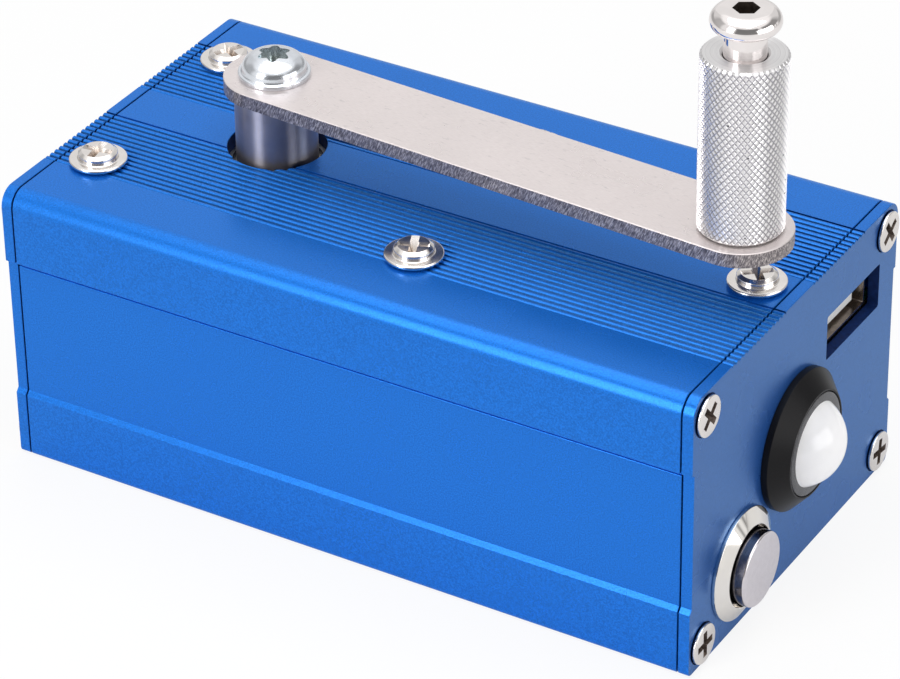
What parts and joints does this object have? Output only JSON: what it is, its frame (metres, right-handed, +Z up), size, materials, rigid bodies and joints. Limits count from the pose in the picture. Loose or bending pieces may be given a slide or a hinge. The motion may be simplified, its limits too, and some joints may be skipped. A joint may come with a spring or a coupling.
{
  "type": "hand crank generator",
  "caption": "Box-shaped hand crank generator: blue metal case, flat steel crank with a knurled turning handle, and an end plate with a USB socket, a domed lamp and a push button",
  "frame": {"origin": "centre of the case's flat underside", "axes": "+Z up, along the crank's axis; +X along the case towards the end with the socket, lamp and button; +Y across the case"},
  "size_m": [0.107, 0.055, 0.0801],
  "materials": {
    "blue_anodised": "fine blasted, blue anodised",
    "zinc_screw": "bright zinc",
    "bracket_steel": "plain pressed steel",
    "gearbox_aluminium": "milled",
    "bearing_steel": "ground",
    "spring_steel": "spring temper",
    "bronze": "sintered",
    "hub_steel": "turned and polished, dark",
    "arm_steel": "sheared steel, pale",
    "bolt_nickel": "polished nickel",
    "knurled_aluminium": "diamond knurled",
    "gear_brass": "hobbed",
    "pinion_steel": "hobbed",
    "can_steel": "zinc plated",
    "ferrite": "matt sintered",
    "cap_plastic": "moulded",
    "brush_metal": "phosphor bronze and carbon",
    "laminated_steel": "stacked sheets",
    "copper": "copper",
    "lamp_black": "matt black",
    "lens_clear": "clear",
    "emitter_board": "white solder mask",
    "button_chrome": "polished",
    "block_plastic": "moulded",
    "contact_brass": "gold flashed",
    "socket_steel": "bright nickel",
    "tongue_plastic": "moulded, pale",
    "board_green": "solder mask",
    "capacitor_sleeve": "shrink sleeve",
    "chip_black": "moulded",
    "plug_white": "moulded",
    "red_insulation": "smooth insulation",
    "black_insulation": "smooth insulation"
  },
  "bodies": {
    "case": {"upper_shell": "blue_anodised", "lower_shell": "blue_anodised", "left_end_plate": "blue_anodised", "right_end_plate": "blue_anodised", "end_plate_screws": "zinc_screw", "top_flange_screws": "zinc_screw", "pillar_screws": "zinc_screw", "generator_screws": "zinc_screw", "end_bracket": "bracket_steel", "lamp_nut": "bracket_steel", "button_nut": "bracket_steel", "upper_gear_plate": "gearbox_aluminium", "lower_gear_plate": "gearbox_aluminium", "gearbox_pillars": "gearbox_aluminium", "upper_bearing_outer": "bearing_steel", "upper_bearing_balls": "bearing_steel", "first_idler_pin": "bearing_steel", "second_idler_pin": "bearing_steel", "idler_clip": "spring_steel", "button_spring": "spring_steel", "lower_bush": "bronze", "generator_bushes": "bronze", "generator_can": "can_steel", "generator_magnets": "ferrite", "generator_end_cap": "cap_plastic", "generator_brushes": "brush_metal", "lamp_bezel": "lamp_black", "lamp_lens": "lens_clear", "lamp_emitter": "emitter_board", "button_barrel": "button_chrome", "button_block": "block_plastic", "button_terminals": "contact_brass", "usb_contacts": "contact_brass", "usb_shell": "socket_steel", "usb_tongue": "tongue_plastic", "circuit_board": "board_green", "storage_capacitors": "capacitor_sleeve", "power_inductor": "chip_black", "rectifier_diodes": "chip_black", "regulator_chips": "chip_black", "lead_connectors": "plug_white", "red_leads": "red_insulation", "black_leads": "black_insulation"},
    "crank": {"crank_arm": "arm_steel", "crank_hub": "hub_steel", "crank_screw": "zinc_screw", "handle_bolt": "bolt_nickel", "crank_shaft": "bearing_steel", "shaft_clip": "spring_steel", "drive_gear": "gear_brass", "upper_bearing_inner": "bearing_steel"},
    "handle": {"handle_sleeve": "knurled_aluminium"},
    "first_idler": {"first_idler_gear": "gear_brass"},
    "second_idler": {"second_idler_gear": "gear_brass"},
    "rotor": {"rotor_shaft": "bearing_steel", "rotor_core": "laminated_steel", "rotor_windings": "copper", "commutator": "copper", "rotor_pinion": "pinion_steel"},
    "button": {"button_actuator": "button_chrome"}
  },
  "joints": [
    {"name": "crank_turn", "type": "hinge", "parent": "case", "child": "crank", "pos_m": [-0.0257, 0, 0.0378], "axis": [0, 0, 1], "continuous": true},
    {"name": "handle_spin", "type": "hinge", "parent": "crank", "child": "handle", "pos_m": [0.04368, -0.00412, 0.0624], "axis": [0, 0, 1], "continuous": true},
    {"name": "first_idler_turn", "type": "hinge", "parent": "case", "child": "first_idler", "pos_m": [-0.0049, 0, 0.0284], "axis": [0, 0, 1], "continuous": true},
    {"name": "second_idler_turn", "type": "hinge", "parent": "case", "child": "second_idler", "pos_m": [-0.01593, -0.00926, 0.0263], "axis": [0, 0, 1], "continuous": true},
    {"name": "rotor_turn", "type": "hinge", "parent": "case", "child": "rotor", "pos_m": [-0.02793, -0.00926, 0.015], "axis": [0, 0, 1], "continuous": true},
    {"name": "button_press", "type": "slide", "parent": "case", "child": "button", "axis": [-1, 0, 0], "range_m": [0, 0.0012], "stiffness_N_per_m": 1500, "springref_m": -0.0012, "deforming": ["button_spring"]}
  ],
  "couplings": [
    {"joint": "first_idler_turn", "follows": "crank_turn", "ratio": -3.3333},
    {"joint": "second_idler_turn", "follows": "crank_turn", "ratio": 10},
    {"joint": "rotor_turn", "follows": "crank_turn", "ratio": -30}
  ]
}
